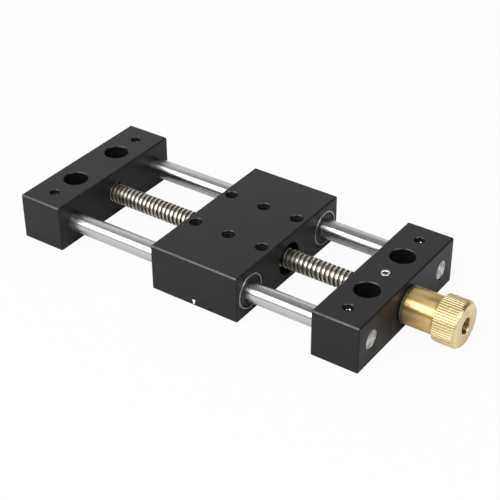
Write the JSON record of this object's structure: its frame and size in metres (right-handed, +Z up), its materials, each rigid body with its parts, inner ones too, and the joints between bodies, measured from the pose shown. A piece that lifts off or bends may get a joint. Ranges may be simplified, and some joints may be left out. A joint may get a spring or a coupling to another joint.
{
  "type": "sliding table",
  "caption": "Screw-driven sliding table: a tapped carriage on two guide rods between bolt-down end blocks, moved by a lead screw with a knurled knob.",
  "frame": {"origin": "midway between the four base bolt holes, on the plane that the end blocks stand on", "axes": "+X along the rods from the rear end block to the knob, +Y across the table, +Z up"},
  "size_m": [0.1818, 0.07, 0.0203],
  "materials": {
    "black_anodised": "satin black anodised, fine bead-blast grain",
    "ground_rod": "ground and hard-chromed",
    "screw_steel": "rolled thread, bright",
    "bright_steel": "turned, bright",
    "bearing_steel": "hardened and ground",
    "black_oxide": "black oxide",
    "seal_rubber": "black nitrile rubber",
    "cage_polymer": "moulded natural polymer",
    "knob_brass": "turned and knurled, lightly polished",
    "nut_brass": "turned"
  },
  "bodies": {
    "frame": {"far_guide_rod": "ground_rod", "front_end_block": "black_anodised", "front_inner_bearing_outer_ring": "bearing_steel", "front_inner_bearing_shields": "seal_rubber", "front_outer_bearing_outer_ring": "bearing_steel", "front_outer_bearing_shields": "seal_rubber", "near_guide_rod": "ground_rod", "rear_bearing_outer_ring": "bearing_steel", "rear_bearing_shields": "seal_rubber", "rear_end_block": "black_anodised", "rod_clamp_screws": "black_oxide", "spindle_lock_screw": "bright_steel"},
    "spindle": {"front_inner_bearing_balls": "bearing_steel", "front_inner_bearing_cage": "cage_polymer", "front_inner_bearing_inner_ring": "bearing_steel", "front_outer_bearing_balls": "bearing_steel", "front_outer_bearing_cage": "cage_polymer", "front_outer_bearing_inner_ring": "bearing_steel", "knob": "knob_brass", "knob_set_screw": "black_oxide", "lead_screw": "screw_steel", "rear_bearing_balls": "bearing_steel", "rear_bearing_cage": "cage_polymer", "rear_bearing_inner_ring": "bearing_steel", "thrust_washer": "bright_steel"},
    "carriage": {"carriage_block": "black_anodised", "far_front_slide_balls": "bearing_steel", "far_front_slide_cage": "cage_polymer", "far_front_slide_seals": "seal_rubber", "far_front_slide_sleeve": "bearing_steel", "far_rear_slide_balls": "bearing_steel", "far_rear_slide_cage": "cage_polymer", "far_rear_slide_seals": "seal_rubber", "far_rear_slide_sleeve": "bearing_steel", "lead_nut": "nut_brass", "near_front_slide_balls": "bearing_steel", "near_front_slide_cage": "cage_polymer", "near_front_slide_seals": "seal_rubber", "near_front_slide_sleeve": "bearing_steel", "near_rear_slide_balls": "bearing_steel", "near_rear_slide_cage": "cage_polymer", "near_rear_slide_seals": "seal_rubber", "near_rear_slide_sleeve": "bearing_steel", "nut_set_screw": "black_oxide"}
  },
  "joints": [
    {"name": "screw_spin", "type": "hinge", "parent": "frame", "child": "spindle", "pos_m": [0, 0, 0.01], "axis": [1, 0, 0], "range_deg": [-5688.1, 8172.1]},
    {"name": "carriage_slide", "type": "slide", "parent": "frame", "child": "carriage", "axis": [1, 0, 0], "range_m": [-0.0454, 0.0316]}
  ],
  "couplings": [
    {"joint": "screw_spin", "follows": "carriage_slide", "rad_per_m": -3141.6}
  ]
}
